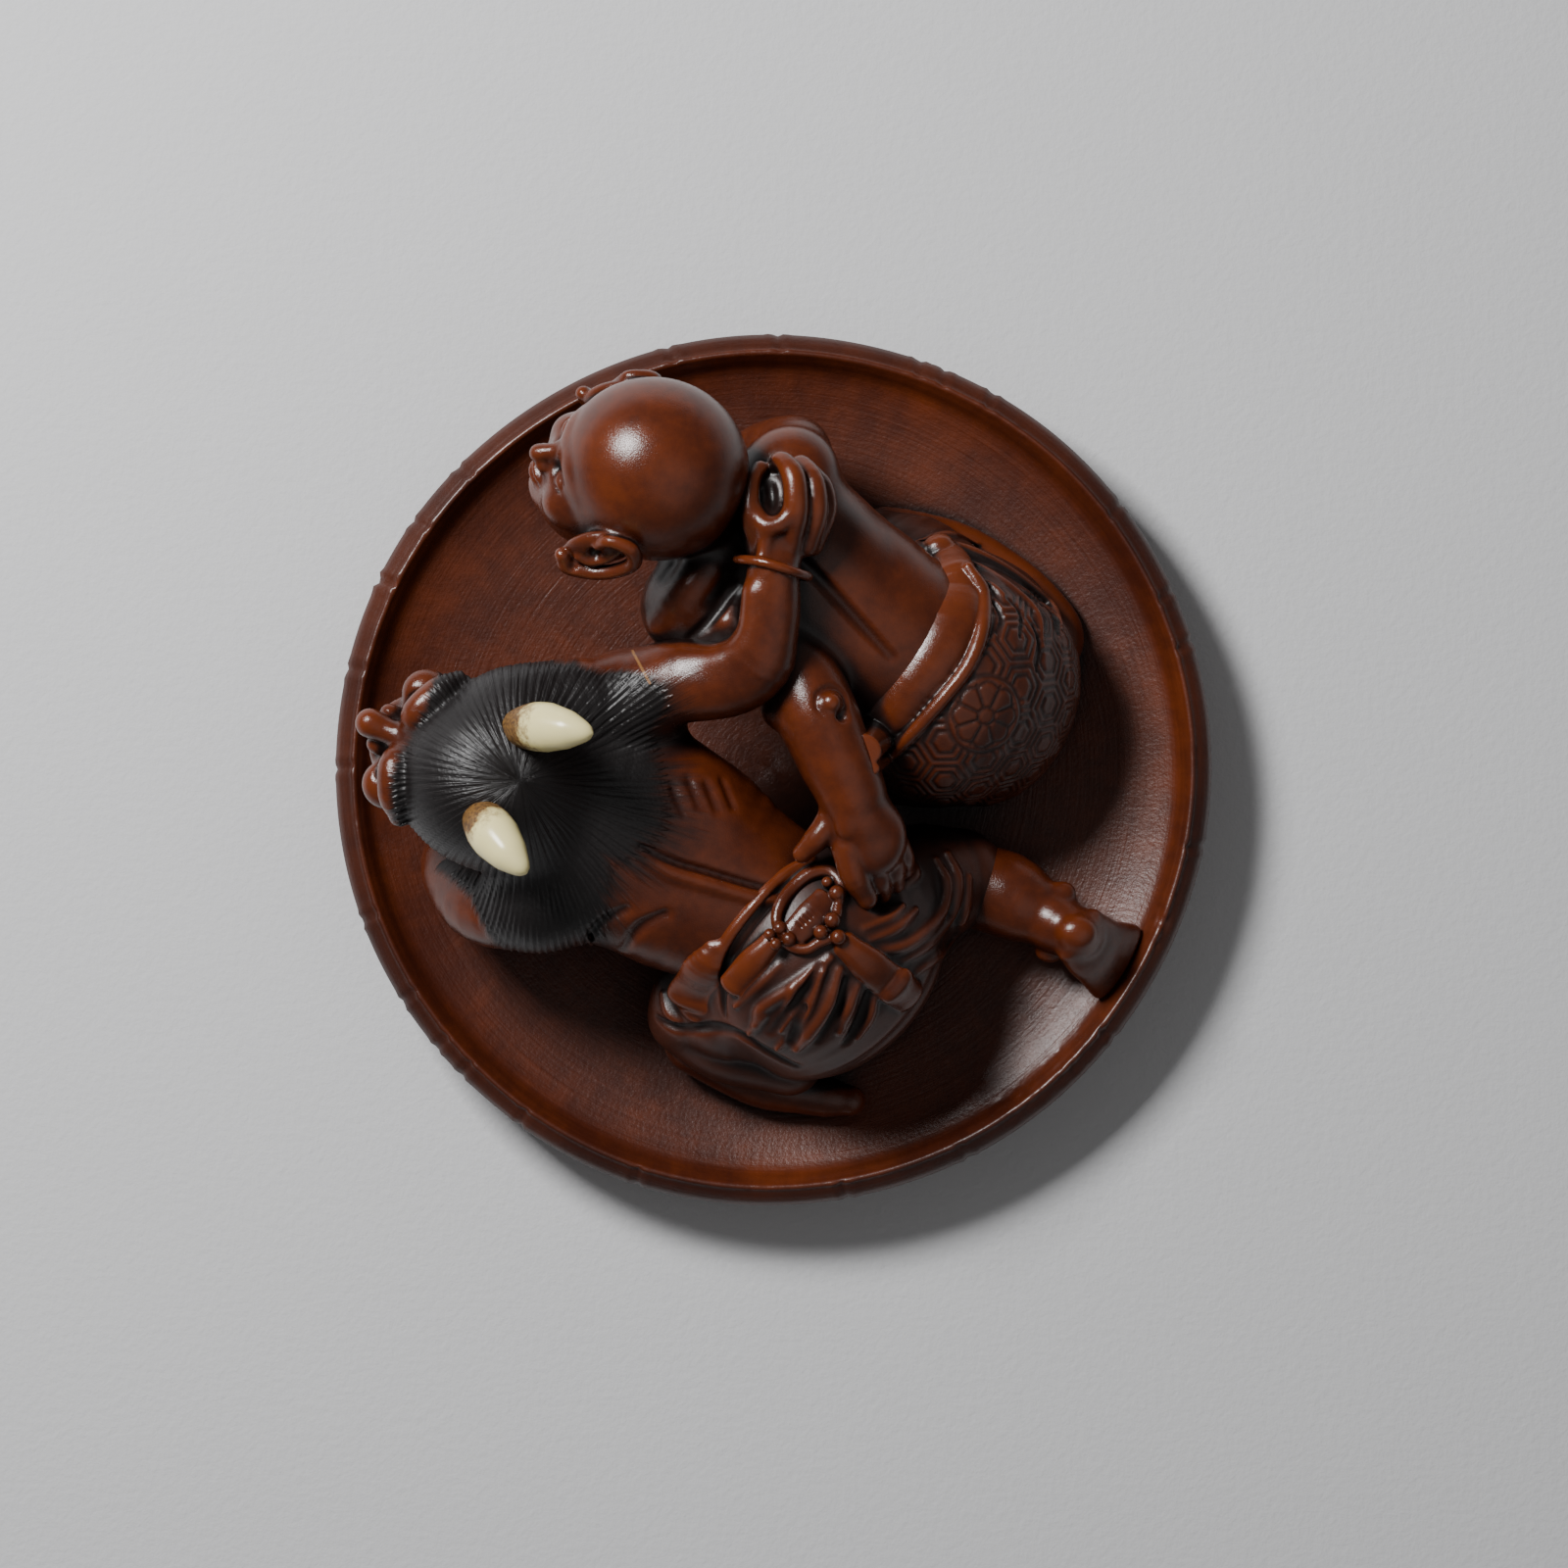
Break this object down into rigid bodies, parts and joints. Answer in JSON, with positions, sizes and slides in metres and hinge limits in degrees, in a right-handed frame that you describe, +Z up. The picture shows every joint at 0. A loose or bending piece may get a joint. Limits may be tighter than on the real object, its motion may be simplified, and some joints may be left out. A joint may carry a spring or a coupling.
{
  "type": "netsuke",
  "caption": "Carved wooden netsuke: an upturned round hat holding a bald wrestler and a horned, long-haired demon who grapple side by side, with inlaid ivory horns.",
  "frame": {"origin": "on the ground under the centre of the upturned hat, on the flat of its crown", "axes": "+Z up through the hat's centre, -X the way both figures face, -Y the demon's side"},
  "size_m": [0.045, 0.045, 0.0218],
  "materials": {
    "wood": "dark stained boxwood, polished and worn lighter on its high spots",
    "horn": "polished ivory, stained brown at its base"
  },
  "bodies": {
    "root": {"carving": "wood", "horn_right": "horn", "horn_left": "horn"}
  },
  "joints": []
}
